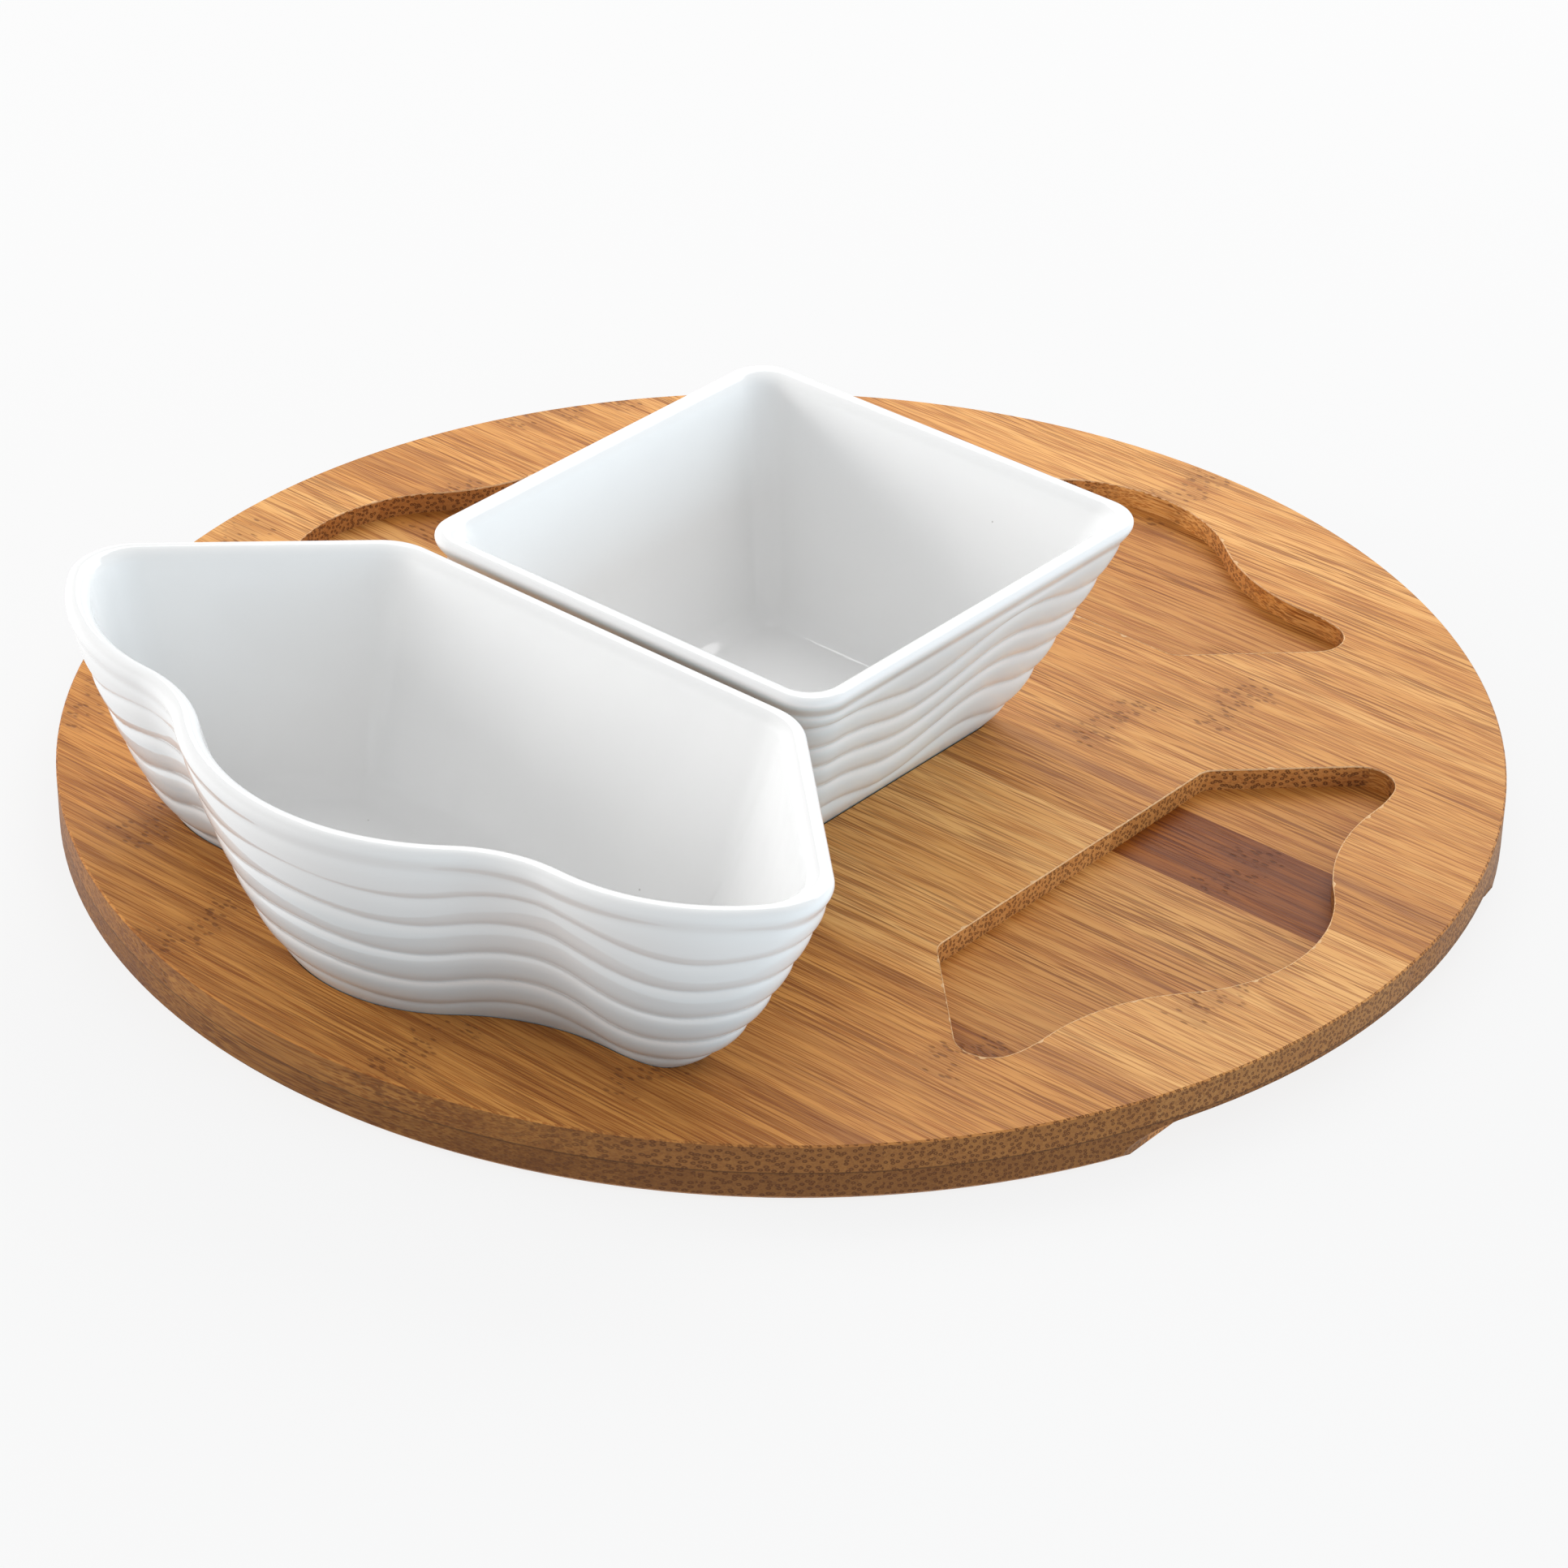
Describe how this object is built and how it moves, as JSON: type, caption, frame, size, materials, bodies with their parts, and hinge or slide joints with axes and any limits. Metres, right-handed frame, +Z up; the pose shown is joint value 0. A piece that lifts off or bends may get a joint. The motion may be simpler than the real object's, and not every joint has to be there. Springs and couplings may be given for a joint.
{
  "type": "chip and dip server",
  "caption": "Round two-ply bamboo serving tray with wave-edged pockets, holding a square dip dish and a wave-fronted chip dish that lift out.",
  "frame": {"origin": "centre of the tray's underside, on the surface it stands on", "axes": "+Z up; X along the bamboo's grain, through the two finger scoops; the wave-fronted dish stands towards -Y"},
  "size_m": [0.343, 0.343, 0.0686],
  "materials": {
    "bamboo": "satin, oiled",
    "porcelain": "gloss white glaze"
  },
  "bodies": {
    "tray": {"top_strip_01": "bamboo", "top_strip_02": "bamboo", "top_strip_03": "bamboo", "top_strip_04": "bamboo", "top_strip_05": "bamboo", "top_strip_06": "bamboo", "top_strip_07": "bamboo", "top_strip_08": "bamboo", "top_strip_09": "bamboo", "top_strip_10": "bamboo", "top_strip_11": "bamboo", "top_strip_12": "bamboo", "top_strip_13": "bamboo", "bottom_strip_01": "bamboo", "bottom_strip_02": "bamboo", "bottom_strip_03": "bamboo", "bottom_strip_04": "bamboo", "bottom_strip_05": "bamboo", "bottom_strip_06": "bamboo", "bottom_strip_07": "bamboo", "bottom_strip_08": "bamboo", "bottom_strip_09": "bamboo", "bottom_strip_10": "bamboo", "bottom_strip_11": "bamboo", "bottom_strip_12": "bamboo", "bottom_strip_13": "bamboo"},
    "square_dish": {"square_dish": "porcelain"},
    "wave_dish": {"wave_dish": "porcelain"}
  },
  "joints": [
    {"name": "square_dish_lift", "type": "slide", "parent": "tray", "child": "square_dish", "axis": [0, 0, 1], "range_m": [0, 0.12]},
    {"name": "wave_dish_lift", "type": "slide", "parent": "tray", "child": "wave_dish", "axis": [0, 0, 1], "range_m": [0, 0.12]}
  ]
}
